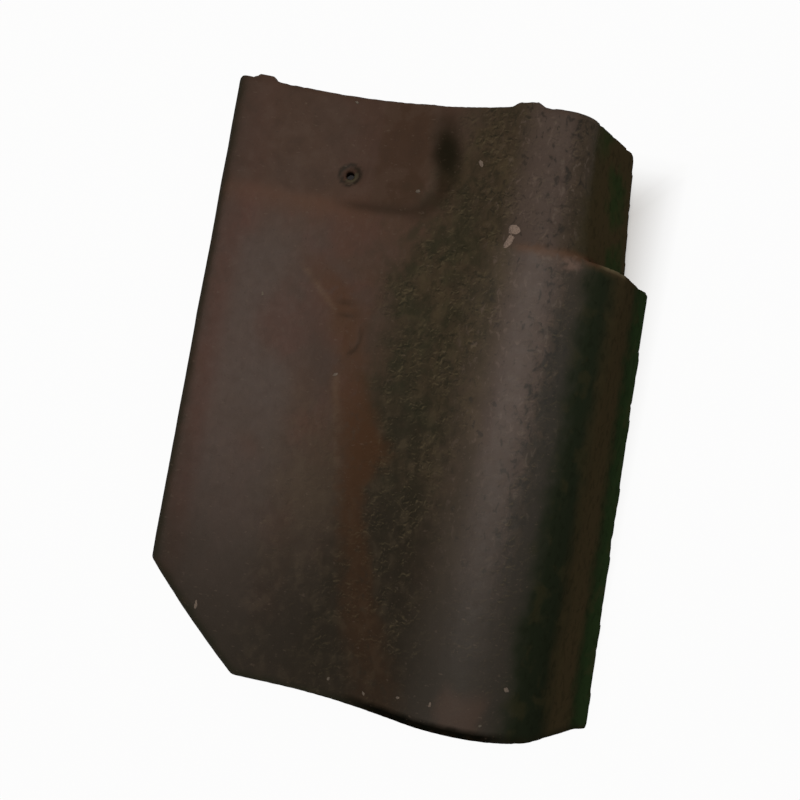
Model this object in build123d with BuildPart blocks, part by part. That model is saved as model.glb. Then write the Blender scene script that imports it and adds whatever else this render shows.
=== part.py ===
from build123d import *
import os
from math import acos, asin, cos, degrees, radians, sin, sqrt, tan

# A right-hand clay verge tile: a pan on the left, a roll on the right whose outer flank runs down
# past the pan as a flange, a narrower head that the next tile's flange laps over, and two nibs.
# X runs from the pan's plain edge to the flange, Y from tail to head, Z up.
# The origin is on the nail hole's axis, level with the lowest line of the pan's top face.

# Whole tile
length = 376.5
thickness = 13.0
nail_from_head = 50.5
nail_from_left = 79.6
side_round = 4.0
tail_round = 2.5
head_round = 2.0

# Pan, the shallow trough on the left
pan_from_left = 57.0
pan_left_radius = 560.0
pan_right_radius = 189.0
inner_flank_angle = 32.5

# Roll and its outer flank, which steepens from the tail to the step
roll_radius = 62.0
crest_height = 49.0
shoulder_angle = 45.0
tail_flank_angle = 55.0
step_flank_angle = 66.0
flange_drop = 29.0
flare_radius = 53.0
flare_turn = 20.0
flange_corner_radius = 5.0

# Head of the roll, set in so that the next tile's flange can lap over it
head_lap = 84.5
joggle_length = 12.0
head_flank_angle = 57.3
head_recess = 20.3
step_recess = 13.1
head_flange_drop = 14.7
head_shoulder_radius = 21.7

# Raised plate beside the nail hole, which curves up more tightly than the pan
plate_tighter_by = 29.0
plate_turn = 45.0
plate_length = 67.5
plate_head_width = 126.0
plate_tail_width = 138.0
plate_corner_radius = 22.0
plate_round = 2.5
plate_bury = 0.3
nail_hole_radius = 2.75
nail_mouth_radius = 6.0
nail_mouth_angle = 140.0

# Corner cut at the left of the tail, slightly bowed
corner_cut_width = 62.5
corner_cut_length = 64.0
corner_cut_bulge = 1.5

# Nibs that hook over the batten, each under a lug that stands proud of the head edge
pan_nib_from_left = 16.0
roll_nib_from_crest = 26.0
nib_width = 17.0
nib_tip_width = 13.0
nib_thickness = 14.0
nib_proud = 2.8
nib_drop = 26.0
nib_round = 3.0
nib_tip_round = 1.5
nib_root_radius = 4.0
lug_depth = 1.0

left_x = -nail_from_left
head_y = nail_from_head
tail_y = head_y - length
step_y = head_y - head_lap
pan_x = left_x + pan_from_left
left_angle = degrees(asin(pan_from_left / pan_left_radius))
bend_sin = sin(radians(inner_flank_angle))
bend_rise = 1 - cos(radians(inner_flank_angle))
inner_flank_length = (crest_height - (pan_right_radius + roll_radius) * bend_rise) / bend_sin
crest_x = pan_x + (pan_right_radius + roll_radius) * bend_sin
crest_x += inner_flank_length * cos(radians(inner_flank_angle))
roll_centre = Vector(crest_x, crest_height - roll_radius)
batten_z = -thickness
nib_z = batten_z - nib_drop
plate_radius = pan_right_radius - plate_tighter_by
nail_z = pan_right_radius - sqrt(pan_right_radius**2 - pan_x**2)
nib_back_y = head_y + nib_proud
hook_y = nib_back_y - nib_thickness
facing_up = 0.2
touching = 0.01


def outward(angle):
    """Unit normal of a face that falls to the right at the given angle."""
    return Vector(sin(radians(angle)), cos(radians(angle)))


def downhill(angle):
    """Unit direction down a face that falls to the right at the given angle."""
    return Vector(cos(radians(angle)), -sin(radians(angle)))


def draw_pan(depth):
    """Draw the pan and the inner flank at a depth below the top face; returns both ends."""
    pan_left = CenterArc((pan_x, pan_left_radius), pan_left_radius + depth, 270 - left_angle, left_angle)
    pan_right = CenterArc((pan_x, pan_right_radius), pan_right_radius + depth, 270, inner_flank_angle)
    inner_flank = Line(pan_right @ 1, roll_centre + outward(-inner_flank_angle) * (roll_radius - depth))
    return pan_left @ 0, inner_flank @ 1


def draw_roll(depth, end_angle):
    """Draw the roll from the inner flank to an angle past its crest; returns both ends."""
    roll_turn = -(inner_flank_angle + end_angle)
    roll = CenterArc(roll_centre, roll_radius - depth, 90 + inner_flank_angle, roll_turn)
    return roll @ 0, roll @ 1


def draw_tail_flank(depth, flank_angle):
    """Draw the shoulder, the outer flank and the flared rim below the step; returns both ends."""
    shoulder_turn = shoulder_angle - flank_angle
    shoulder = CenterArc(roll_centre, roll_radius - depth, 90 - shoulder_angle, shoulder_turn)
    rim_angle = flank_angle - flare_turn
    flank_top = roll_centre + outward(flank_angle) * roll_radius
    flare_z = flare_radius * outward(rim_angle).Y - flange_drop
    flank_foot_z = flare_z - flare_radius * outward(flank_angle).Y
    flank_foot_x = flank_top.X + (flank_top.Y - flank_foot_z) / tan(radians(flank_angle))
    flare_x = flank_foot_x + flare_radius * outward(flank_angle).X
    flare = CenterArc((flare_x, flare_z), flare_radius + depth, 270 - flank_angle, flare_turn)
    Line(shoulder @ 1, flare @ 0)
    return shoulder @ 0, flare @ 1


def head_flank_point(recess, depth, run):
    """A point on the head's flat flank, at a run downhill from where it is nearest the roll's axis."""
    nearest = roll_centre + outward(head_flank_angle) * (roll_radius - recess - depth)
    return nearest + downhill(head_flank_angle) * run


def head_rim_run(recess):
    """How far the head's flank runs downhill to its rim."""
    nearest = head_flank_point(recess, 0, 0)
    return (nearest.Y + head_flange_drop) / sin(radians(head_flank_angle))


def draw_head_top(depth, recess):
    """Draw the roll, its shoulder and the flat flank above the step; returns both ends."""
    corner_reach = roll_radius - depth - head_shoulder_radius
    corner_distance = roll_radius - recess - depth - head_shoulder_radius
    corner_turn = degrees(acos(corner_distance / corner_reach))
    corner_angle = head_flank_angle - corner_turn
    roll_start = draw_roll(depth, corner_angle)[0]
    corner_centre = roll_centre + outward(corner_angle) * corner_reach
    corner = CenterArc(corner_centre, head_shoulder_radius, 90 - corner_angle, -corner_turn)
    rim = head_flank_point(recess, depth, head_rim_run(recess))
    Line(corner @ 1, rim)
    return roll_start, rim


def draw_head_under(recess):
    """Draw the underside of the roll and of the flat flank above the step; returns both ends."""
    flank_distance = roll_radius - recess - thickness
    corner_turn = degrees(acos(flank_distance / (roll_radius - thickness)))
    roll_start, roll_end = draw_roll(thickness, head_flank_angle - corner_turn)
    rim = head_flank_point(recess, thickness, head_rim_run(recess))
    Line(roll_end, rim)
    return roll_start, rim


def weathered_edges(tile, sides):
    """The edges that the given side faces share with the weathered face."""
    weathered = tile.faces().filter_by(lambda face: face.normal_at().Z > facing_up).edges()
    return sides.edges().filter_by(lambda edge: any(edge.is_same(other) for other in weathered))


def is_upright(edge):
    """Whether an edge runs nearly along Z at its middle."""
    return abs((edge % 0.5).Z) > 1 - facing_up


def make_nib(centre_x):
    """One nib, a drafted finger from its lug at the head edge down to its tip."""
    back = Plane.XZ.offset(-nib_back_y)
    with BuildPart() as nib:
        with BuildSketch(back):
            with BuildLine():
                lug_left = draw_pan(lug_depth)[0]
                lug_rim = draw_head_top(lug_depth, head_recess)[1]
                Polyline(lug_left, (lug_left.X, nib_z), (lug_rim.X, nib_z), lug_rim)
            make_face()
        extrude(amount=nib_thickness)
        with BuildSketch(back):
            with BuildLine():
                Polyline(
                    (centre_x - nib_tip_width / 2, nib_z),
                    (centre_x + nib_tip_width / 2, nib_z),
                    (centre_x + nib_width / 2, crest_height),
                    (centre_x - nib_width / 2, crest_height),
                    close=True,
                )
            make_face()
        extrude(amount=nib_thickness, mode=Mode.INTERSECT)
        fillet(nib.faces().sort_by(Axis.Y)[-1].edges().filter_by(is_upright), nib_round)
        fillet(nib.faces().sort_by(Axis.Z)[0].edges(), nib_tip_round)
    return nib.part


with BuildPart() as head_plate:
    with BuildSketch(Plane.XZ.offset(-head_y)):
        with BuildLine():
            plate_centre = (pan_x, plate_radius - plate_bury)
            pan_centre = (pan_x, pan_right_radius)
            top = CenterArc(plate_centre, plate_radius, 270, plate_turn)
            core = CenterArc(pan_centre, pan_right_radius + thickness / 2, 270, inner_flank_angle)
            Line(top @ 0, core @ 0)
            Line(top @ 1, core @ 1)
        make_face()
    extrude(amount=plate_length)
    with BuildSketch(Plane.XY.offset(-crest_height)):
        with BuildLine():
            Polyline(
                (left_x, head_y),
                (left_x + plate_head_width, head_y),
                (left_x + plate_tail_width, head_y - plate_length),
                (left_x, head_y - plate_length),
                close=True,
            )
        plate_outline = make_face()
        fillet(plate_outline.vertices().sort_by(Axis.X)[-1], plate_corner_radius)
    extrude(amount=2 * crest_height, mode=Mode.INTERSECT)
    plate_sides = head_plate.faces().filter_by(lambda face: abs(face.normal_at().Z) < facing_up)
    plate_rim = weathered_edges(head_plate, plate_sides.sort_by(Axis.X)[1:])
    fillet(plate_rim, plate_round)

nib_centres = (left_x + pan_nib_from_left, crest_x - roll_nib_from_crest)
nibs = [make_nib(centre_x) for centre_x in nib_centres]

with BuildPart() as verge_tile:
    # Pan and inner flank, straight from tail to head
    with BuildSketch(Plane.XZ.offset(-head_y)):
        with BuildLine():
            top_left, top_end = draw_pan(0)
            under_left, under_end = draw_pan(thickness)
            Line(top_left, under_left)
            Line(top_end, under_end)
        make_face()
    extrude(amount=length)

    # Roll below the step, straight as far as its outer shoulder, then the flank and flange
    with BuildSketch(Plane.XZ.offset(-step_y)):
        with BuildLine():
            top_start, top_end = draw_roll(0, shoulder_angle)
            under_start, under_end = draw_roll(thickness, shoulder_angle)
            Line(top_start, under_start)
            Line(top_end, under_end)
        make_face()
    extrude(amount=step_y - tail_y)
    for y, flank_angle in ((tail_y, tail_flank_angle), (step_y, step_flank_angle)):
        with BuildSketch(Plane.XZ.offset(-y)):
            with BuildLine():
                top_start, top_rim = draw_tail_flank(0, flank_angle)
                under_start, under_rim = draw_tail_flank(thickness, flank_angle)
                Line(top_start, under_start)
                Line(top_rim, under_rim)
            make_face()
    loft(ruled=True)

    # Set-in head of the roll, and the thick joggle that joins it to the flank under the step
    for y, recess in ((step_y, step_recess), (head_y, head_recess)):
        with BuildSketch(Plane.XZ.offset(-y)):
            with BuildLine():
                top_start, top_rim = draw_head_top(0, recess)
                under_start, under_rim = draw_head_under(recess)
                Line(top_start, under_start)
                Line(top_rim, under_rim)
            make_face()
    loft(ruled=True)
    with BuildSketch(Plane.XZ.offset(-step_y)):
        with BuildLine():
            wall_middle = roll_radius - thickness / 2
            inner_distance = roll_radius - step_recess - thickness
            start_run = -sqrt(wall_middle**2 - inner_distance**2)
            rim_run = head_rim_run(step_recess)
            Polyline(
                head_flank_point(step_recess, thickness, start_run),
                head_flank_point(thickness / 2, 0, 0),
                head_flank_point(thickness / 2, 0, rim_run),
                head_flank_point(step_recess, thickness, rim_run),
                close=True,
            )
        make_face()
    extrude(amount=joggle_length)

    with BuildSketch(Plane.XY):
        with BuildLine():
            cut_start = (left_x + corner_cut_width, tail_y)
            cut_end = (left_x, tail_y + corner_cut_length)
            SagittaArc(cut_start, cut_end, corner_cut_bulge)
            Polyline(
                cut_end,
                (left_x - thickness, tail_y + corner_cut_length),
                (left_x - thickness, tail_y),
                cut_start,
            )
        make_face()
    extrude(amount=crest_height, both=True, mode=Mode.SUBTRACT)

    # The flange's free corners at the step and at the head, then the edges of the weathered face
    wall_ends = verge_tile.edges().filter_by(GeomType.LINE)
    wall_ends = wall_ends.filter_by(lambda edge: abs(edge.length - thickness) < touching)
    step_corner = wall_ends.filter_by_position(Axis.Y, step_y - touching, step_y + touching)
    head_corners = wall_ends.filter_by_position(Axis.Y, head_y - touching, head_y + touching)
    fillet(step_corner.sort_by(Axis.X)[-1:] + head_corners.sort_by(Axis.X)[-1:], flange_corner_radius)
    left_side = verge_tile.faces().sort_by(Axis.X)[:1]
    cut_side = verge_tile.faces().filter_by(
        lambda face: face.normal_at().X < -facing_up and face.normal_at().Y < -facing_up
    )
    fillet(weathered_edges(verge_tile, left_side + cut_side), side_round)
    fillet(weathered_edges(verge_tile, verge_tile.faces().sort_by(Axis.Y)[:1]), tail_round)
    fillet(weathered_edges(verge_tile, verge_tile.faces().sort_by(Axis.Y)[-1:]), head_round)

    add(head_plate.part)
    for nib in nibs:
        add(nib)
    hook_edges = verge_tile.edges().filter_by_position(Axis.Y, hook_y - touching, hook_y + touching)
    root_edges = hook_edges.filter_by(lambda edge: edge.center().Z > batten_z and not is_upright(edge))
    fillet(root_edges, nib_root_radius)

    with Locations((0, 0, nail_z)):
        CounterSinkHole(nail_hole_radius, nail_mouth_radius, counter_sink_angle=nail_mouth_angle)

verge_tile.part.label = "verge_tile"

os.makedirs("parts", exist_ok=True)
export_step(verge_tile.part, "parts/verge_tile.step")
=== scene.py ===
from math import radians

import bmesh
import bpy
import numpy as np
from mathutils import Matrix, Vector, noise
from mathutils.bvhtree import BVHTree


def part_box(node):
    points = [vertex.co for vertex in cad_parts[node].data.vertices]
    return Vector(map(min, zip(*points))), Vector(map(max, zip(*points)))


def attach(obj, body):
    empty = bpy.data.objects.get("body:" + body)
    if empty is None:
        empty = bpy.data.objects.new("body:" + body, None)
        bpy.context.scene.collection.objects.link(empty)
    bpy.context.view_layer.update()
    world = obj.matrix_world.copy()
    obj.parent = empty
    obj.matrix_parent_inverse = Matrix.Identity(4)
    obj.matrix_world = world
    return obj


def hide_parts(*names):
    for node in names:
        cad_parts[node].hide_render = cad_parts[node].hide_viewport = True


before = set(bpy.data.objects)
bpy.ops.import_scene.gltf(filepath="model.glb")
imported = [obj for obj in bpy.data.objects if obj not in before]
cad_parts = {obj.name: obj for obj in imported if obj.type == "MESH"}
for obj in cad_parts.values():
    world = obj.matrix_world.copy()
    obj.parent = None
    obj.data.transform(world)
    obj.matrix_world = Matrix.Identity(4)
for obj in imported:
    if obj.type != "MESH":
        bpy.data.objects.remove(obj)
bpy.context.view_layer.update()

# Everything on the tile is placed in millimetres in the tile's own frame:
# X from the pan's plain edge to the flange, Y from tail to head, Z up, origin on the nail hole.
# A range holds where a stain is 0 and where it is full. A band holds where it starts, is full,
# begins to fade and ends. A reach is half an oval's width and half its length.
MM = 0.001
tile_low = np.array(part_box("verge_tile")[0]) / MM
tile_high = np.array(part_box("verge_tile")[1]) / MM
left_x = -79.6
tail_y = tile_low[1]
head_y = 50.5
head_lap = 84.5
step_y = head_y - head_lap
cut_size = 63.0
floor_z = tile_low[2]

# Mesh size of the weathered tile, and how often its edges are smoothed
voxel = 1.9
edge_softening = 2

# The photograph looks straight down, from above the middle of the tile
image_size = 800
camera_at = (65.0, -151.5, 660.7)
camera_turn = 10.51
focal_pixels = 1041.0
nadir_pixel = (407.4, 428.9)

# One soft, slightly warm lamp overhead, and even light from all round
lamp_at = (-30.0, -20.0, 1500.0)
lamp_aim = (65.0, -140.0, 0.0)
lamp_size = 400.0
lamp_power = 16.5
lamp_tint = (1.0, 0.95, 0.89)
sky_level = 0.25

# Floor: half its side, the squares along a side and its grey under the lamp
floor_half = 1500.0
floor_squares = 300
floor_grey = 0.62

# Share of plain white that the floor shows round the tile, and how far inside the tile's outline
# that white is all gone and still whole
floor_white = 0.95
floor_fade = (45.0, -5.0)

# Raised plate beside the nail hole, and the passes, the share a pass and the width of its rubbed edges
plate_tail_y = -17.0
plate_right_at_head = 46.4
plate_spread = 0.178
plate_corner = 22.0
plate_rubs = 14
plate_rub = 0.6
plate_shoulder = 7.0

# In X: where the fold under the plate and the covered head end, where the plate's lapped part starts,
# and the painted shade in the crease along the plate's tail
folded_range = (26.0, 8.0)
covered_range = (80.0, 50.0)
lapped_range = (13.0, 18.0)
tail_crease_shade_band = (-14.0, 12.0, 50.0, 62.0)

# Hollow between the plate and the roll, sunk a little and painted dark as shade
valley_at = (58.0, 19.0)
valley_reach = (12.0, 29.0)
valley_lean = 0.2

# Nail hole, as distances from its axis: the inner and outer edge of its ring of painted shade,
# and the painted highlight on the lit side of its mouth
ring_inner = (4.4, 5.6)
ring_outer = (7.6, 6.6)
lit_side_band = (2.4, 3.2, 4.4, 5.2)

# Dim patch in the pan beside the top of the streak
shade_at = (0.5, -114.7)
shade_reach = (9.0, 32.0)
shade_lean = 0.35

# Pale wash in the pan left of the streak's lower half
wash_at = (8.0, -200.0)
wash_reach = (24.0, 42.0)

# Darker colour towards the tail, from where it starts to where it is full, and pale bloom beside the pan's
# plain edge that is partly a painted sheen
tail_darkening_range = (-115.0, -312.0)
bloom_and_sheen_band = (-72.0, -54.0, -22.0, 2.0)
bloom_and_sheen_from_plate = 45.0

# Mottling in the pan's lower half: its left, right and upper edges
mottle_left = (-30.0, -5.0)
mottle_right = (100.0, 80.0)
mottle_top = (-110.0, -170.0)

# Orange-brown streak down the pan, as (y, x, half its width, strength) along its middle
streak_line = (
    (-312, 74, 16, 0.2), (-275, 58, 15, 0.4), (-237, 46, 10, 0.5), (-193, 38, 8, 0.85), (-170, 40, 15, 1.0),
    (-155, 36, 15, 1.0), (-138, 27, 13, 0.8), (-118, 23, 10, 0.5), (-85, 14, 13, 0.7), (-70, 0, 13, 0.7),
    (-57, -12, 10, 0.4), (-46, -22, 4, 0.0),
)

# Pale drips beside the streak and at the edge of its upper end, as (y, x), and how softly they end
drip_lines = (
    ((-216, 33), (-190, 27), (-160, 21), (-124, 14)),
    ((-86, 6), (-80, 0), (-61, -19)),
)
drip_end = 4.0

# Green and brown growth along the pan's rising side, as (y, its left edge, its right edge)
growth_edges = (
    (-326, 14, 96), (-246, 34, 92), (-185, 42, 92), (-120, 40, 96),
    (-60, 38, 102), (-25, 58, 106), (50, 68, 106),
)
growth_fade = 14.0

# The greener middle of that growth, and its darkest part
green_x = 60.0
green_width = 28.0
green_band = (-330.0, -150.0, -40.0, 30.0)
core_at = (58.0, -135.0)
core_reach = (25.0, 70.0)

# Blister in the pan where a drop ran down, and two dark creases above it
blister_at = (20.0, -101.0)
blister_reach = (4.5, 8.5)
crease_spots = ((12.0, -80.0), (14.0, -88.0))
crease_reach = (6.0, 1.8)

# Bands that run along the roll, as places in X, and how far nearer to the pan they lie above the step
roll_range = (76.0, 104.0)
head_roll_range = (100.0, 112.0)
# Paler clay along the crest, partly a painted sheen
crest_band = (101.0, 116.0, 134.0, 143.0)
# Where the painted shade on the far side of the crest starts and is full
lee_shade_range = (130.0, 144.0)
shoulder_x = 138.0
damp_range = (144.0, 161.0)
head_set_in = 6.0

# Ruddy place on the crest at the tail, in X and in Y
ruddy_band = (108.0, 118.0, 134.0, 146.0)
ruddy_range = (-292.0, -306.0)

# Flange rim in plan, at the step and at the tail, and the bands on the flank as distances from that rim
rim_at_step = 206.0
rim_at_tail = 217.0
stripe_band = (8.0, 19.0, 26.0, 42.0)
moss_range = (19.0, 6.0)

# Green patches on the flank above the step
moss_spots = ((168.0, 14.0), (146.0, 48.0), (174.0, -32.0))
moss_reach = (9.0, 16.0)

# In X: the step's rim, the pale end of that rim, and the tail edge painted dark as shade
rim_band = (102.0, 114.0, 172.0, 186.0)
rim_end_band = (158.0, 165.0, 177.0, 184.0)
tail_shade_band = (40.0, 80.0, 140.0, 170.0)

# Edges of the pan: the redder clay beside the plain edge, and how far grime with painted shade and the
# painted edge shade reach in
red_from_left = 15.0
red_width = 11.0
grime_and_shade_range = (7.0, 1.0)
edge_shade_range = (26.0, 2.0)

# Chip just below the step's rim
chip_at = (141.5, -38.5)
chip_reach = (8.0, 4.0)

# Relief of the face: heights of its waves and of the blister, and depths of its hollows
wave_height = 0.28
ripple_height = 0.07
blister_height = 0.2
blister_groove = 0.15
valley_depth = 0.6
pit_depth = 0.25
flake_depth = 0.8
chip_depth = 0.6

# In Y: where the face is less rough towards the tail
smoother_range = (-265.0, -300.0)

# Relief of the face that is left to bump
skin_bump = 0.1
flake_bump = 0.25
lime_bump = 0.2

# Specular level of the pan, and how much more the roll has
pan_gloss = 0.06
roll_gloss = 0.075

# Lime specks as (x, y, length, width, how white)
lime_specks = (
    (105.6, -24.5, 6.5, 6.0, 1.0), (103.8, -31.5, 9.0, 4.6, 1.0), (79.6, 14.8, 5.0, 2.6, 0.7),
    (44.5, -5.2, 3.0, 2.2, 0.2), (44.9, -313.4, 2.4, 1.8, 0.2), (68.0, -315.6, 2.6, 1.5, 0.3),
    (88.6, -311.3, 2.4, 1.6, 0.4), (107.7, -309.4, 3.2, 1.5, 0.5), (150.6, -292.7, 3.4, 2.6, 0.4),
    (138.8, -315.7, 2.0, 1.5, 0.0), (-46.7, -285.4, 5.0, 1.8, 0.6), (-4.0, 46.0, 2.6, 1.4, 0.2),
    (14.0, -126.0, 3.4, 1.8, 0.4), (-41.0, -84.0, 3.0, 1.4, 0.3),
)

# Half the height of a speck, how lumpy it is, the turn in radians from one to the next, and a height
# above the tile from which each one's place on the face is found
speck_half_height = 0.55
speck_lumps = 0.45
speck_turn = 1.1
above_tile = 100.0


def smooth(low, high, value):
    """Rises from 0 at low to 1 at high without a corner; low may be the larger."""
    t = np.clip((value - low) / (high - low), 0.0, 1.0)
    return t * t * (3.0 - 2.0 * t)


def band(value, start, full, fade, end):
    """0 up to start, 1 from full to fade and 0 again from end."""
    return smooth(start, full, value) * smooth(end, fade, value)


def bell(value, width):
    """1 where the value is 0, falling away over the width."""
    return np.exp(-((value / width) ** 2))


def cloud(points, grain, seed, octaves=3):
    """Soft noise from about -1 to 1 at points in mm, with lumps of about the grain in mm."""
    offset = Vector((17.3 * seed, -9.1 * seed, 5.7 * seed))
    return np.array([noise.fractal(Vector(p) / grain + offset, 1.0, 2.0, octaves) for p in points])


def over_oval(x, y, centre, reach, lean=0.0):
    """Place across and along an oval in plan, 1 at its edge; with a lean it shifts in X along its length."""
    along = y - centre[1]
    across = x - centre[0] + lean * along
    return across / reach[0], along / reach[1]


def from_oval(x, y, centre, reach, lean=0.0):
    """Distance in plan from the middle of an oval, 1 at its edge."""
    return np.hypot(*over_oval(x, y, centre, reach, lean))


def beyond_cut(x, y):
    """Distance in plan from the corner cut, towards the middle of the tile."""
    return (x - left_x + y - tail_y - cut_size) / np.sqrt(2.0)


def beyond_plate(x, y):
    """Distance in plan from the plate's rounded outline, positive outside it."""
    past_right = x - plate_right_at_head - (head_y - y) * plate_spread
    past_tail = plate_tail_y - y
    corner = np.hypot(np.maximum(past_right + plate_corner, 0.0), np.maximum(past_tail + plate_corner, 0.0))
    return np.maximum(corner - plate_corner, np.maximum(past_right, past_tail) - plate_corner)


def read_mesh(mesh):
    """Vertex places in mm and vertex normals, as arrays."""
    count = len(mesh.vertices)
    places = np.empty(count * 3)
    normals = np.empty(count * 3)
    mesh.vertices.foreach_get("co", places)
    mesh.vertices.foreach_get("normal", normals)
    return places.reshape(-1, 3) / MM, normals.reshape(-1, 3)


def write_places(mesh, places):
    """Moves the vertices to places in mm."""
    mesh.vertices.foreach_set("co", (places * MM).ravel())
    mesh.update()


def write_layer(mesh, name, values):
    """Keeps one value for each vertex under a name that a material can read."""
    layer = mesh.attributes.new(name, "FLOAT", "POINT")
    layer.data.foreach_set("value", values.astype(np.float32))


def neighbour_mean(mesh, values):
    """For each vertex, the mean of the values at the vertices that share an edge with it."""
    ends = np.empty(len(mesh.edges) * 2, dtype=np.int64)
    mesh.edges.foreach_get("vertices", ends)
    first, second = ends.reshape(-1, 2).T
    total = np.zeros_like(values)
    np.add.at(total, first, values[second])
    np.add.at(total, second, values[first])
    count = np.bincount(ends, minlength=len(values))
    return total / count.reshape(-1, *[1] * (values.ndim - 1))


def dense_tile(node):
    """An even, dense mesh on the node's surface, with its sharp edges slightly softened."""
    work = bmesh.new()
    work.from_mesh(node.data)
    bmesh.ops.remove_doubles(work, verts=work.verts, dist=0.001 * MM)
    surface = BVHTree.FromBMesh(work)
    closed = bpy.data.meshes.new("closed_tile")
    work.to_mesh(closed)
    work.free()
    source = bpy.data.objects.new("closed_tile", closed)
    bpy.context.scene.collection.objects.link(source)
    remesh = source.modifiers.new("even_mesh", "REMESH")
    remesh.mode = "VOXEL"
    remesh.voxel_size = voxel * MM
    remesh.use_smooth_shade = True
    evaluated = source.evaluated_get(bpy.context.evaluated_depsgraph_get())
    mesh = bpy.data.meshes.new_from_object(evaluated)
    mesh.name = "weathered_tile"
    bpy.data.objects.remove(source)
    places, _ = read_mesh(mesh)
    snapped = np.array([surface.find_nearest(Vector(p) * MM)[0] for p in places]) / MM
    for _ in range(edge_softening):
        snapped = snapped * 0.5 + neighbour_mean(mesh, snapped) * 0.5
    write_places(mesh, snapped)
    return mesh, surface


def soften_plate(mesh):
    """Rubs the plate's tail and right edges down to soft shoulders, as on a worn mould."""
    places, normals = read_mesh(mesh)
    x, y, _ = places.T
    share = bell(beyond_plate(x, y), plate_shoulder) * smooth(0.3, 0.6, normals[:, 2])
    share *= smooth(head_y - 1.0, head_y - 5.0, y)
    for _ in range(plate_rubs):
        places += (neighbour_mean(mesh, places) - places) * share[:, None] * plate_rub
    write_places(mesh, places)


class Spots:
    """The vertices of a mesh in mm, with their normals and what makes the edges of stains uneven."""

    def __init__(self, mesh):
        self.mesh = mesh
        self.places, self.normals = read_mesh(mesh)
        self.x, self.y, _ = self.places.T
        self.broad = cloud(self.places, 38.0, seed=1)
        self.ragged = cloud(self.places, 9.0, seed=2)
        self.upper = smooth(0.02, 0.3, self.normals[:, 2])
        self.below_step = smooth(step_y + 3.0, step_y - 1.0, self.y)


def streak_masks(at):
    """The streak down the pan and the pale drips beside it."""
    x, y, broad, ragged = at.x, at.y, at.broad, at.ragged
    line_y, line_x, half_width, strength = np.array(streak_line, dtype=float).T
    from_streak = np.abs(x - np.interp(y, line_y, line_x) - 4.0 * broad - 4.0 * ragged)
    streak = smooth(1.5, 0.3, from_streak / np.interp(y, line_y, half_width))
    streak *= np.interp(y, line_y, strength)
    drip = np.zeros_like(x)
    for line in drip_lines:
        drip_y, drip_x = np.array(line, dtype=float).T
        low, high = drip_y[0], drip_y[-1]
        inside = band(y, low - drip_end, low + drip_end, high - drip_end, high + drip_end)
        drip = np.maximum(drip, bell(x - np.interp(y, drip_y, drip_x) - 2.2 * ragged, 2.0) * inside)
    drip *= smooth(-0.35, 0.25, ragged + broad)
    return {"streak": streak, "drip": drip}


def growth_masks(at):
    """Olive and green growth on the pan's rising side."""
    x, y, broad = at.x, at.y, at.broad
    edge_y, left_edge, right_edge = np.array(growth_edges, dtype=float).T
    uneven = 8.0 * broad + 6.0 * at.ragged
    olive = smooth(-growth_fade, growth_fade, x - np.interp(y, edge_y, left_edge) + uneven)
    olive *= smooth(-growth_fade, growth_fade, np.interp(y, edge_y, right_edge) - x + uneven)
    green = bell(x - green_x + 12.0 * broad, green_width) * band(y, *green_band)
    core = bell(from_oval(x + 10.0 * broad, y, core_at, core_reach), 1.0)
    return {"olive": olive, "green": green, "core": core}


def plate_masks(at):
    """The plate and the head that the next tile covers, painted shade in the creases, and the hollow painted
    dark as shade.
    """
    x, y = at.x, at.y
    past_plate = beyond_plate(x, y)
    folded = bell(y - plate_tail_y + 3.0 - 2.0 * at.broad, 9.0) * smooth(*folded_range, x)
    covered = smooth(plate_tail_y - 4.0, plate_tail_y + 6.0, y) * smooth(*covered_range, x)
    lapped = smooth(*lapped_range, x) * smooth(1.0, -3.0, past_plate)
    # Painted shade along the plate's tail and round its corner, and a painted shadow on the blister's lower
    # right side
    tail_crease_shade = bell(past_plate - 1.5, 3.6) * band(x, *tail_crease_shade_band) * smooth(4.0, -8.0, y)
    corner_crease_shade = 0.9 * bell(past_plate - 4.0, 4.5) * smooth(12.0, -4.0, y) * smooth(32.0, 50.0, x)
    across, along = over_oval(x, y, blister_at, blister_reach)
    blister_shadow = bell(np.hypot(across, along) - 1.15, 0.22) * smooth(0.1, 0.9, across - 0.6 * along)
    creases = [0.8 * bell(from_oval(x, y, spot, crease_reach), 0.9) for spot in crease_spots]
    shaded_creases = np.maximum.reduce([tail_crease_shade, corner_crease_shade, blister_shadow, *creases])
    # Painted shade: the hollow between the plate and the roll is darkened in colour as well as sunk
    shaded_valley = smooth(1.2, 0.2, from_oval(x, y, valley_at, valley_reach, valley_lean) + 0.1 * at.ragged)
    return {"folded": folded, "covered": covered, "lapped": lapped, "shaded_creases": shaded_creases, "shaded_valley": shaded_valley}


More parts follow.
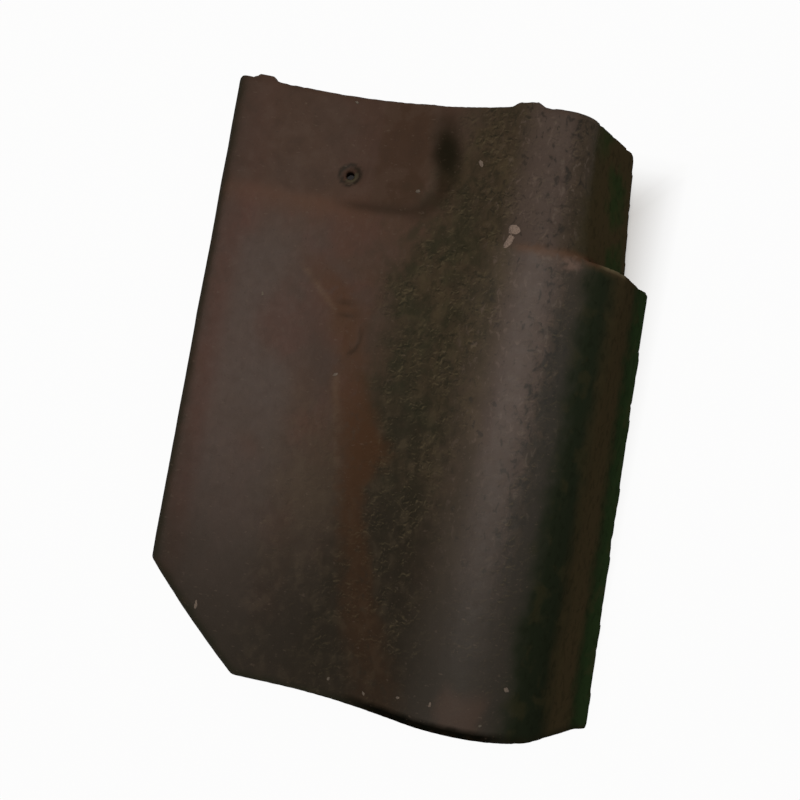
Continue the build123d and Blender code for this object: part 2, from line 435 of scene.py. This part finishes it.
def pan_masks(at):
    """Darker colour towards the tail, a pale patch beside the plain edge that is partly a painted sheen,
    pale wash, and dim and mottled places in the pan.
    """
    x, y, broad = at.x, at.y, at.broad
    shade = bell(from_oval(x, y, shade_at, shade_reach, shade_lean) + 0.2 * broad, 1.0)
    wash = bell(from_oval(x, y, wash_at, wash_reach) + 0.3 * broad + 0.3 * at.ragged, 1.0)
    # The darkening starts lower at the plain edge, and higher in the pan's rising side and on the roll
    later = 20.0 * smooth(20.0, -40.0, x) - 45.0 * bell(x - 52.0, 40.0) - 15.0 * smooth(100.0, 120.0, x)
    tail_darkening = smooth(*tail_darkening_range, y + 18.0 * broad + later)
    # Pale bloom beside the plain edge, partly a painted sheen
    bloom_and_sheen = smooth(-0.35, 0.3, cloud(at.places, 55.0, seed=8, octaves=2) + smooth(-150.0, -230.0, y))
    bloom_and_sheen *= band(x, *bloom_and_sheen_band) * smooth(plate_tail_y, plate_tail_y - bloom_and_sheen_from_plate, y)
    mottled = smooth(*mottle_left, x + 8.0 * broad) * smooth(*mottle_right, x) * smooth(*mottle_top, y)
    return {"shade": shade, "wash": wash, "tail_darkening": tail_darkening, "bloom_and_sheen": bloom_and_sheen, "mottled": mottled}


def nail_masks(at):
    """Painted shade in a ring round the nail hole, and a painted highlight on the lit side of its opening.
    """
    away = np.hypot(at.x, at.y)
    # Painted shade in a ring round the hole, and a painted highlight on the lit side of its mouth
    ring = smooth(*ring_outer, away + 0.4 * at.ragged) * smooth(*ring_inner, away)
    facing = smooth(0.0, 0.8, (at.x - at.y) / np.maximum(away, 0.1))
    return {"mouth_shade": ring, "throat_highlight": facing * band(away, *lit_side_band)}


def roll_masks(at):
    """The bands that run along the roll, from its tan inner side over its top, with painted sheen on it and
    painted shade behind it, to the flange's rim.
    """
    x, y, broad, ragged = at.x, at.y, at.broad, at.ragged
    below = at.below_step
    uneven = x + 3.0 * broad + 3.0 * ragged + head_set_in * (1.0 - below)
    frayed = uneven + 6.0 * cloud(at.places, 6.0, seed=10)
    paler = 0.6 * (1.0 - below) + 0.35 * below * smooth(step_y - 50.0, step_y - 5.0, y)
    damp = smooth(*damp_range, uneven) * smooth(-0.5, 0.0, at.normals[:, 2])
    from_rim = np.interp(y, (tail_y, step_y), (rim_at_tail, rim_at_step)) - x + 2.0 * ragged + 2.0 * broad
    mossy = np.zeros_like(x)
    for spot in moss_spots:
        away = from_oval(x, y, spot, moss_reach) + 0.5 * ragged + 0.4 * broad
        mossy = np.maximum(mossy, smooth(1.4, 0.4, away))
    ruddy = smooth(*ruddy_range, y + 8.0 * broad) * band(uneven, *ruddy_band)
    # Painted shade along the tail edge under the roll
    tail_shade = smooth(7.5, 4.5, y - tail_y + 0.8 * ragged) * band(x, *tail_shade_band)
    return {
        "roll": smooth(*roll_range, x + 8.0 * broad) * at.upper,
        # Paler clay along the crest, partly a painted sheen
        "crest": band(uneven, *crest_band) * at.upper,
        # Painted shade on the side of the crest away from the lamp
        "lee_shade": smooth(*lee_shade_range, frayed) * (1.0 - paler) * at.upper,
        "shoulder": bell(frayed - shoulder_x, 9.0) * at.upper,
        "damp": damp,
        "stripe": np.where(y < step_y, band(from_rim, *stripe_band), 1.0) * damp,
        "mossy": np.where(y < step_y, smooth(*moss_range, from_rim), mossy) * damp,
        "ruddy": ruddy * at.upper,
        "tail_shade": tail_shade,
    }


def edge_masks(at):
    """Redder clay, dirt with painted shade and painted edge shade, wear and breaks along the edges, and a
    darker colour where the surface folds inwards.
    """
    x, y, broad, ragged = at.x, at.y, at.broad, at.ragged
    redder_places = 0.5 * smooth(-0.05, 0.45, broad + 0.35 * ragged)
    redder_edge = bell(x - left_x - red_from_left + 5.0 * broad, red_width)
    from_edge = np.minimum(np.minimum(x - left_x, beyond_cut(x, y)), y - tail_y) + 1.5 * ragged
    # Dirt along the edges, partly painted shade where the rounded edges turn from the lamp
    grime_and_shade = smooth(*grime_and_shade_range, from_edge) * smooth(-0.6, 0.2, at.normals[:, 2])
    chip = from_oval(x, y, chip_at, chip_reach) + 0.5 * ragged
    curve = np.einsum("ij,ij->i", at.places - neighbour_mean(at.mesh, at.places), at.normals)
    for _ in range(2):
        curve = 0.4 * curve + 0.6 * neighbour_mean(at.mesh, curve)
    near_plate = bell(beyond_plate(x, y), 9.0)
    return {
        "red": np.maximum(redder_places, redder_edge),
        "grime_and_shade": grime_and_shade,
        "edge_shade": smooth(*edge_shade_range, from_edge + 3.0 * broad) * at.upper,
        "rim": bell(y - step_y - 1.0 * ragged, 2.8) * band(x, *rim_band) * at.upper,
        "rim_end": bell(y - step_y - 0.5 * ragged, 1.8) * band(x, *rim_end_band),
        "chipped": smooth(1.3, 0.4, chip) * at.upper,
        "worn": smooth(0.05, 0.22, curve + 0.05 * ragged) * (1.0 - near_plate) * (1.0 - 0.8 * grime_and_shade),
        "hollow": smooth(0.03, 0.16, -curve) * (1.0 - 0.75 * near_plate),
    }


def surface_masks(at):
    """Where each kind of weathering, painted shade and painted sheen lies, from 0 to 1, and how rough and
    glossy the face is.
    """
    face = streak_masks(at) | growth_masks(at) | plate_masks(at) | pan_masks(at)
    masks = {name: values * at.upper for name, values in face.items()}
    masks |= nail_masks(at) | roll_masks(at) | edge_masks(at)
    head_roll = smooth(*head_roll_range, at.x) * (1.0 - at.below_step) * (1.0 - masks["damp"])
    rough = np.maximum.reduce([
        masks["olive"],
        0.25 * masks["mottled"],
        0.45 * head_roll,
        0.7 * masks["shoulder"],
        0.35 * masks["crest"],
    ])
    rough *= (1.0 - 0.75 * masks["streak"]) * (1.0 - 0.6 * smooth(*smoother_range, at.y))
    gloss = pan_gloss + roll_gloss * masks["roll"] * at.below_step
    gloss *= (1.0 - np.maximum(masks["damp"], masks["shaded_valley"])) * (1.0 - masks["tail_shade"])
    gloss *= smooth(0.5, 0.9, at.normals[:, 2])
    return masks | {"rough": rough * at.upper, "gloss": gloss}


def relief(at, masks):
    """How far each vertex moves along its normal, in mm, for waves, hollows, the blister and chips."""
    waves = wave_height * cloud(at.places, 46.0, seed=3, octaves=2)
    ripples = ripple_height * cloud(at.places, 8.0, seed=4, octaves=2)
    away = from_oval(at.x, at.y, blister_at, blister_reach)
    blister = blister_height * smooth(1.2, 0.6, away) - blister_groove * bell(away - 1.25, 0.3)
    pits = pit_depth * smooth(0.1, 0.5, cloud(at.places, 4.5, seed=5, octaves=2)) * masks["rough"]
    flakes = flake_depth * smooth(0.1, 0.55, cloud(at.places, 6.5, seed=6, octaves=2)) * masks["worn"]
    hollows = valley_depth * masks["shaded_valley"] + chip_depth * masks["chipped"]
    return waves + ripples + blister * at.upper - pits - flakes - hollows


def add_tile(node):
    """The tile with its weathering, which stands for the CAD node."""
    mesh, surface = dense_tile(node)
    soften_plate(mesh)
    at = Spots(mesh)
    masks = surface_masks(at)
    write_places(mesh, at.places + at.normals * relief(at, masks)[:, None])
    for name, values in masks.items():
        write_layer(mesh, name, values)
    tile = bpy.data.objects.new("weathered_tile", mesh)
    bpy.context.scene.collection.objects.link(tile)
    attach(tile, "root")
    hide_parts("verge_tile")
    return tile, surface


def add_lime_specks(surface):
    """Flakes of lime mortar, pressed flat on the weathered face."""
    work = bmesh.new()
    white = work.verts.layers.float.new("white")
    for index, (x, y, length, width, whiteness) in enumerate(lime_specks):
        place, normal, _, _ = surface.ray_cast(Vector((x, y, above_tile)) * MM, Vector((0, 0, -1)))
        made = bmesh.ops.create_icosphere(work, subdivisions=3, radius=1.0)
        turn = normal.to_track_quat("Z", "Y").to_matrix().to_4x4()
        twist = Matrix.Rotation(index * speck_turn, 4, "Z")
        half_sides = Vector((width / 2, length / 2, speck_half_height))
        for vertex in made["verts"]:
            lump = 1.0 + speck_lumps * noise.noise(vertex.co * 1.6 + Vector((index * 3.0, 0.0, 0.0)))
            flat = vertex.co * half_sides * lump
            vertex.co = place + (turn @ twist @ flat) * MM
            vertex[white] = whiteness
    mesh = bpy.data.meshes.new("lime_specks")
    work.to_mesh(mesh)
    work.free()
    mesh.polygons.foreach_set("use_smooth", [True] * len(mesh.polygons))
    specks = bpy.data.objects.new("lime_specks", mesh)
    bpy.context.scene.collection.objects.link(specks)
    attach(specks, "root")
    return specks


def linear(red, green, blue):
    """A display colour, 0 to 255, as a linear RGBA colour."""
    shares = [channel / 255 for channel in (red, green, blue)]
    return [s / 12.92 if s <= 0.04045 else ((s + 0.055) / 1.055) ** 2.4 for s in shares] + [1.0]


class Nodes:
    """Short ways to add the nodes of one material."""

    def __init__(self, name):
        self.material = bpy.data.materials.new(name)
        self.material.use_nodes = True
        self.tree = self.material.node_tree
        self.shader = self.tree.nodes["Principled BSDF"]
        self.place = self.add("ShaderNodeTexCoord").outputs["Object"]

    def add(self, kind, **settings):
        """A new node with the given settings."""
        node = self.tree.nodes.new(kind)
        for key, value in settings.items():
            setattr(node, key, value)
        return node

    def feed(self, socket, value):
        """Links a socket into another one, or sets a plain value there."""
        if isinstance(value, bpy.types.NodeSocket):
            self.tree.links.new(value, socket)
        else:
            socket.default_value = value

    def mask(self, name):
        """The layer of that name on the mesh."""
        return self.add("ShaderNodeAttribute", attribute_name=name).outputs["Fac"]

    def noise(self, grain, detail=4.0, distortion=0.0, stretch=(1.0, 1.0, 1.0), shift=(0.0, 0.0, 0.0)):
        """Noise with lumps of about the grain, drawn out by the stretch and moved by the shift, in mm."""
        scale = [1.0 / (grain * MM * s) for s in stretch]
        mapping = self.add("ShaderNodeMapping")
        self.feed(mapping.inputs["Vector"], self.place)
        mapping.inputs["Scale"].default_value = scale
        mapping.inputs["Location"].default_value = [move * MM * s for move, s in zip(shift, scale)]
        node = self.add("ShaderNodeTexNoise")
        self.feed(node.inputs["Vector"], mapping.outputs["Vector"])
        node.inputs["Scale"].default_value = 1.0
        node.inputs["Detail"].default_value = detail
        node.inputs["Distortion"].default_value = distortion
        return node.outputs["Fac"]

    def ramp(self, value, low, high):
        """0 below low, 1 above high; low may be the larger."""
        node = self.add("ShaderNodeMapRange", interpolation_type="SMOOTHSTEP")
        self.feed(node.inputs["Value"], value)
        node.inputs["From Min"].default_value = low
        node.inputs["From Max"].default_value = high
        return node.outputs["Result"]

    def math(self, operation, first, second):
        """One operation on two values or sockets."""
        node = self.add("ShaderNodeMath", operation=operation)
        self.feed(node.inputs[0], first)
        self.feed(node.inputs[1], second)
        return node.outputs["Value"]

    def within(self, name, value, low, high):
        """The named mask times a ramp over the value."""
        return self.math("MULTIPLY", self.mask(name), self.ramp(value, low, high))

    def mix(self, share, below, above):
        """One colour over another; a Mix node's colours are its inputs 6 and 7 and its output 2."""
        node = self.add("ShaderNodeMix", data_type="RGBA")
        self.feed(node.inputs["Factor"], share)
        self.feed(node.inputs[6], below)
        self.feed(node.inputs[7], above)
        return node.outputs[2]

    def stains(self, colour, layers):
        """The colour under stains laid on in turn, as (mask or socket, strength, display tint)."""
        for where, strength, tint in layers:
            socket = self.mask(where) if isinstance(where, str) else where
            colour = self.mix(self.math("MULTIPLY", socket, strength), colour, linear(*tint))
        return colour

    def bump(self, height, depth, below=None):
        """Relief of the given depth in mm over a height that runs from 0 to 1."""
        node = self.add("ShaderNodeBump")
        node.inputs["Distance"].default_value = depth * MM
        self.feed(node.inputs["Height"], height)
        if below is not None:
            self.feed(node.inputs["Normal"], below)
        return node.outputs["Normal"]


class ClayNoise:
    """The noises that the clay's colour, roughness and relief share, from the broadest to the finest."""

    def __init__(self, n):
        self.broad = n.noise(48.0, detail=2.0)
        self.patches = n.noise(14.0, detail=3.0, distortion=0.3)
        self.clusters = n.noise(12.0, detail=3.0, shift=(40.0, 0.0, 0.0))
        self.smudges = n.noise(7.5, detail=2.0, distortion=0.4, stretch=(1.0, 1.3, 1.0))
        self.fine = n.noise(6.0, detail=5.0)
        self.scars = n.noise(4.6, detail=4.0, distortion=0.6, stretch=(0.8, 1.3, 1.0))
        flake_shape = {"grain": 3.2, "detail": 2.5, "distortion": 0.7, "stretch": (1.2, 1.0, 1.0)}
        self.flakes = n.noise(**flake_shape)
        # The flakes less a slightly moved copy, for a painted lit side and a painted shaded side
        self.flake_light_and_shade = n.math("SUBTRACT", self.flakes, n.noise(**flake_shape, shift=(0.6, -0.7, 0.0)))
        self.brushed = n.noise(2.4, detail=4.0, stretch=(1.0, 5.0, 1.0))
        self.dashes = n.noise(1.9, detail=1.0, stretch=(2.2, 1.0, 1.0))
        self.grains = n.noise(1.4, detail=3.0)


def bare_clay(n, clay):
    """The clay with its redder and greyer places, a pale patch that is partly a painted sheen, its scars,
    the covered head and the tan roll.
    """
    colour = n.mix(n.ramp(clay.broad, 0.35, 0.65), linear(65, 51, 44), linear(67, 50, 40))
    colour = n.stains(colour, (
        ("red", 0.65, (75, 50, 43)),
        # Pale bloom, partly a painted sheen
        ("bloom_and_sheen", 0.7, (69, 60, 55)),
        (n.ramp(clay.patches, 0.5, 0.32), 0.2, (56, 44, 37)),
        (n.ramp(clay.scars, 0.5, 0.3), 0.2, (54, 43, 37)),
        (n.ramp(clay.scars, 0.52, 0.7), 0.2, (80, 66, 58)),
        ("folded", 0.5, (78, 53, 39)),
        ("covered", 0.6, (58, 43, 34)),
        ("lapped", 0.7, (55, 39, 28)),
        (n.within("covered", clay.patches, 0.5, 0.34), 0.22, (46, 34, 26)),
        (n.within("covered", clay.patches, 0.5, 0.66), 0.18, (78, 64, 55)),
        ("shade", 0.5, (54, 44, 38)),
    ))
    tan = n.mix(n.ramp(clay.patches, 0.35, 0.65), linear(54, 45, 35), linear(64, 54, 43))
    return n.mix(n.math("MULTIPLY", n.mask("roll"), 0.85), colour, tan)


def grown_over(n, clay, colour):
    """Olive and green growth on the pan's rising side, and pale drips beside the streak."""
    return n.stains(colour, (
        ("olive", 0.8, (51, 43, 31)),
        (n.within("olive", clay.patches, 0.5, 0.66), 0.5, (61, 51, 36)),
        (n.within("olive", clay.scars, 0.5, 0.34), 0.5, (37, 33, 22)),
        (n.within("green", clay.patches, 0.62, 0.36), 0.8, (40, 38, 25)),
        ("core", 0.35, (37, 37, 26)),
        (n.within("olive", clay.smudges, 0.5, 0.7), 0.3, (70, 61, 44)),
        (n.within("olive", clay.smudges, 0.52, 0.32), 0.4, (32, 30, 19)),
        ("drip", 0.5, (92, 75, 60)),
    ))


def roll_sheen_shade_and_scars(n, clay, colour):
    """The roll's pale top, partly a painted sheen, with its dark pits and pale scars, and painted shade on
    the side behind it.
    """
    return n.stains(colour, (
        # Paler crest, partly a painted sheen
        ("crest", 0.7, (66, 55, 50)),
        (n.within("roll", clay.scars, 0.4, 0.3), 0.7, (36, 31, 26)),
        (n.within("roll", clay.scars, 0.58, 0.7), 0.5, (86, 73, 65)),
        # Painted shade behind the crest
        ("lee_shade", 0.85, (34, 32, 27)),
        (n.within("shoulder", clay.scars, 0.5, 0.36), 0.6, (26, 24, 20)),
        (n.within("shoulder", clay.scars, 0.6, 0.7), 0.5, (74, 66, 58)),
    ))


def darker_towards_tail(n, clay, colour):
    """Colour that darkens towards the tail, mottled and washed, with painted shade along the edges and the
    streak over it.
    """
    streaked = n.within("streak", clay.fine, 0.15, 0.5)
    return n.stains(colour, (
        ("tail_darkening", 0.94, (34, 29, 22)),
        (n.within("mottled", clay.smudges, 0.48, 0.7), 0.1, (92, 80, 64)),
        (n.within("mottled", clay.smudges, 0.52, 0.32), 0.14, (20, 17, 12)),
        ("wash", 0.45, (68, 58, 47)),
        ("edge_shade", 0.3, (40, 33, 26)),
        (streaked, 0.75, (66, 42, 25)),
        (n.math("MULTIPLY", streaked, n.mask("tail_darkening")), 0.6, (42, 29, 17)),
        ("ruddy", 0.5, (62, 46, 37)),
    ))


def damp_flank(n, clay, colour):
    """The dark damp flank with its brown stripe and mossy rim."""
    return n.stains(colour, (
        ("damp", 0.9, (28, 34, 23)),
        (n.math("MULTIPLY", n.mask("damp"), n.mask("tail_darkening")), 0.2, (14, 15, 9)),
        ("stripe", 0.75, (59, 49, 33)),
        ("mossy", 0.8, (33, 47, 25)),
        (n.within("damp", clay.scars, 0.5, 0.34), 0.3, (18, 20, 12)),
        (n.within("damp", clay.patches, 0.5, 0.68), 0.3, (54, 48, 31)),
    ))


def flakes_wear_and_painted_light(n, clay, colour):
    """Flakes with a painted shaded side and a painted lit side, darker hollows, painted shade and highlight
    at the hollow beside the plate, the creases, the nail hole and the tail edge, dirt with painted shade,
    and worn or broken edges.
    """
    flaking = n.within("rough", clay.clusters, 0.38, 0.6)
    return n.stains(colour, (
        # Painted shade and painted highlight on the two sides of each flake
        (n.math("MULTIPLY", flaking, n.ramp(clay.flake_light_and_shade, -0.02, -0.18)), 0.65, (25, 24, 16)),
        (n.math("MULTIPLY", flaking, n.ramp(clay.flake_light_and_shade, 0.03, 0.19)), 0.45, (82, 73, 54)),
        ("hollow", 0.6, (28, 24, 18)),
        # Painted shade in the hollow beside the plate
        ("shaded_valley", 0.85, (20, 20, 12)),
        # Painted shade in the creases and beside the blister
        ("shaded_creases", 0.75, (38, 27, 17)),
        # Painted shade round the nail hole, and a painted highlight on the lit side of its mouth
        ("mouth_shade", 0.9, (26, 21, 13)),
        ("throat_highlight", 0.8, (66, 64, 48)),
        # Dirt with painted shade along the edges
        ("grime_and_shade", 0.75, (27, 27, 17)),
        # Painted shade at the tail edge
        ("tail_shade", 0.95, (8, 8, 5)),
        (n.within("worn", clay.fine, 0.42, 0.62), 0.25, (84, 62, 46)),
        (n.within("rim", clay.fine, 0.25, 0.5), 0.75, (72, 50, 35)),
        (n.within("chipped", clay.fine, 0.3, 0.5), 0.8, (88, 71, 62)),
        ("rim_end", 0.75, (104, 97, 74)),
    ))


def finely_specked(n, clay, colour):
    """Fine pale dashes and pale and dark grains wherever the clay is dry."""
    dry = n.ramp(n.mask("damp"), 0.8, 0.2)
    return n.stains(colour, (
        (n.math("MULTIPLY", dry, n.ramp(clay.dashes, 0.68, 0.78)), 0.22, (92, 79, 68)),
        (n.math("MULTIPLY", dry, n.ramp(clay.grains, 0.66, 0.76)), 0.2, (98, 82, 68)),
        (n.math("MULTIPLY", dry, n.ramp(clay.grains, 0.36, 0.28)), 0.25, (30, 25, 20)),
    ))


def clay_material():
    """Dark smothered clay with a satin face, streaked, pitted and grown over with age."""
    n = Nodes("smothered_clay")
    clay = ClayNoise(n)
    colour = bare_clay(n, clay)
    for coat in (grown_over, roll_sheen_shade_and_scars, darker_towards_tail, damp_flank, flakes_wear_and_painted_light, finely_specked):
        colour = coat(n, clay, colour)
    n.feed(n.shader.inputs["Base Color"], colour)

    roughness = 0.44
    for value, share in ((clay.fine, 0.16), (n.mask("olive"), 0.15), (n.mask("damp"), 0.15)):
        roughness = n.math("ADD", roughness, n.math("MULTIPLY", value, share))
    n.feed(n.shader.inputs["Roughness"], roughness)
    n.feed(n.shader.inputs["Specular IOR Level"], n.mask("gloss"))

    skin = n.math("ADD", n.math("MULTIPLY", clay.brushed, 0.5), n.math("MULTIPLY", clay.grains, 0.5))
    flakes = n.math("MULTIPLY", clay.flakes, n.mask("rough"))
    n.feed(n.shader.inputs["Normal"], n.bump(flakes, flake_bump, n.bump(skin, skin_bump)))
    return n.material


def lime_material():
    """Pale, chalky lime."""
    n = Nodes("lime")
    grains = n.noise(0.8)
    fresh = n.mix(n.ramp(grains, 0.35, 0.65), linear(88, 74, 64), linear(118, 100, 88))
    dull = n.mix(n.ramp(grains, 0.35, 0.65), linear(60, 54, 44), linear(76, 68, 56))
    n.feed(n.shader.inputs["Base Color"], n.mix(n.mask("white"), dull, fresh))
    n.shader.inputs["Roughness"].default_value = 0.85
    n.feed(n.shader.inputs["Normal"], n.bump(grains, lime_bump))
    return n.material


def seen_plainly(tree):
    """1 for rays from the camera and for those that a shiny or clear surface sends on."""
    path = tree.nodes.new("ShaderNodeLightPath")
    total = path.outputs["Is Camera Ray"]
    for name in ("Is Glossy Ray", "Is Transmission Ray"):
        either = tree.nodes.new("ShaderNodeMath")
        either.operation = "MAXIMUM"
        tree.links.new(total, either.inputs[0])
        tree.links.new(path.outputs[name], either.inputs[1])
        total = either.outputs["Value"]
    return total


def floor_material():
    """Plain white to the camera where the floor is clear of the tile, and matt grey to the light."""
    material = bpy.data.materials.new("floor")
    material.use_nodes = True
    tree = material.node_tree
    tree.nodes.clear()
    output = tree.nodes.new("ShaderNodeOutputMaterial")
    blend = tree.nodes.new("ShaderNodeMixShader")
    matt = tree.nodes.new("ShaderNodeBsdfDiffuse")
    glow = tree.nodes.new("ShaderNodeEmission")
    clear = tree.nodes.new("ShaderNodeAttribute")
    share = tree.nodes.new("ShaderNodeMath")
    matt.inputs["Color"].default_value = (floor_grey, floor_grey, floor_grey, 1.0)
    glow.inputs["Strength"].default_value = 1.0
    clear.attribute_name = "clear_of_tile"
    share.operation = "MULTIPLY"
    tree.links.new(seen_plainly(tree), share.inputs[0])
    tree.links.new(clear.outputs["Fac"], share.inputs[1])
    tree.links.new(share.outputs["Value"], blend.inputs["Fac"])
    tree.links.new(matt.outputs["BSDF"], blend.inputs[1])
    tree.links.new(glow.outputs["Emission"], blend.inputs[2])
    tree.links.new(blend.outputs["Shader"], output.inputs["Surface"])
    return material


def add_floor():
    """A wide pale floor that shows white round the tile and keeps the tile's shadow."""
    work = bmesh.new()
    bmesh.ops.create_grid(work, x_segments=floor_squares, y_segments=floor_squares, size=floor_half * MM)
    mesh = bpy.data.meshes.new("floor")
    work.to_mesh(mesh)
    work.free()
    places, _ = read_mesh(mesh)
    under = np.minimum(places - tile_low, tile_high - places)[:, :2].min(axis=1)
    under = np.minimum(under, beyond_cut(places[:, 0], places[:, 1]))
    write_layer(mesh, "clear_of_tile", floor_white * smooth(*floor_fade, under))
    mesh.materials.append(floor_material())
    floor = bpy.data.objects.new("floor", mesh)
    floor.location = (0, 0, floor_z * MM)
    bpy.context.scene.collection.objects.link(floor)


def add_lamp():
    """A soft square lamp, turned towards the tile."""
    data = bpy.data.lights.new("key", "AREA")
    data.size = lamp_size * MM
    data.energy = lamp_power
    data.color = lamp_tint
    lamp = bpy.data.objects.new("key", data)
    lamp.location = Vector(lamp_at) * MM
    lamp.rotation_euler = (Vector(lamp_aim) - Vector(lamp_at)).to_track_quat("-Z", "Y").to_euler()
    bpy.context.scene.collection.objects.link(lamp)


def add_world():
    """Even light from all round, behind a plain white backdrop."""
    world = bpy.data.worlds.new("studio")
    bpy.context.scene.world = world
    world.use_nodes = True
    tree = world.node_tree
    seen = tree.nodes.new("ShaderNodeMapRange")
    seen.inputs["To Min"].default_value = sky_level
    seen.inputs["To Max"].default_value = 1.0
    background = tree.nodes["Background"]
    background.inputs["Color"].default_value = (1.0, 1.0, 1.0, 1.0)
    tree.links.new(seen_plainly(tree), seen.inputs["Value"])
    tree.links.new(seen.outputs["Result"], background.inputs["Strength"])


def add_camera():
    """The photograph's view: straight down, turned, and framed by a small shift."""
    data = bpy.data.cameras.new("camera")
    data.sensor_width = 36.0
    data.lens = data.sensor_width * focal_pixels / image_size
    data.shift_x = 0.5 - nadir_pixel[0] / image_size
    data.shift_y = nadir_pixel[1] / image_size - 0.5
    camera = bpy.data.objects.new("camera", data)
    camera.location = Vector(camera_at) * MM
    camera.rotation_euler = (0.0, 0.0, radians(camera_turn))
    bpy.context.scene.collection.objects.link(camera)
    bpy.context.scene.camera = camera


tile, cad_surface = add_tile(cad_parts["verge_tile"])
tile.data.materials.clear()
tile.data.materials.append(clay_material())
specks = add_lime_specks(cad_surface)
specks.data.materials.append(lime_material())

add_floor()
add_lamp()
add_world()
add_camera()
bpy.context.scene.view_settings.view_transform = "Standard"
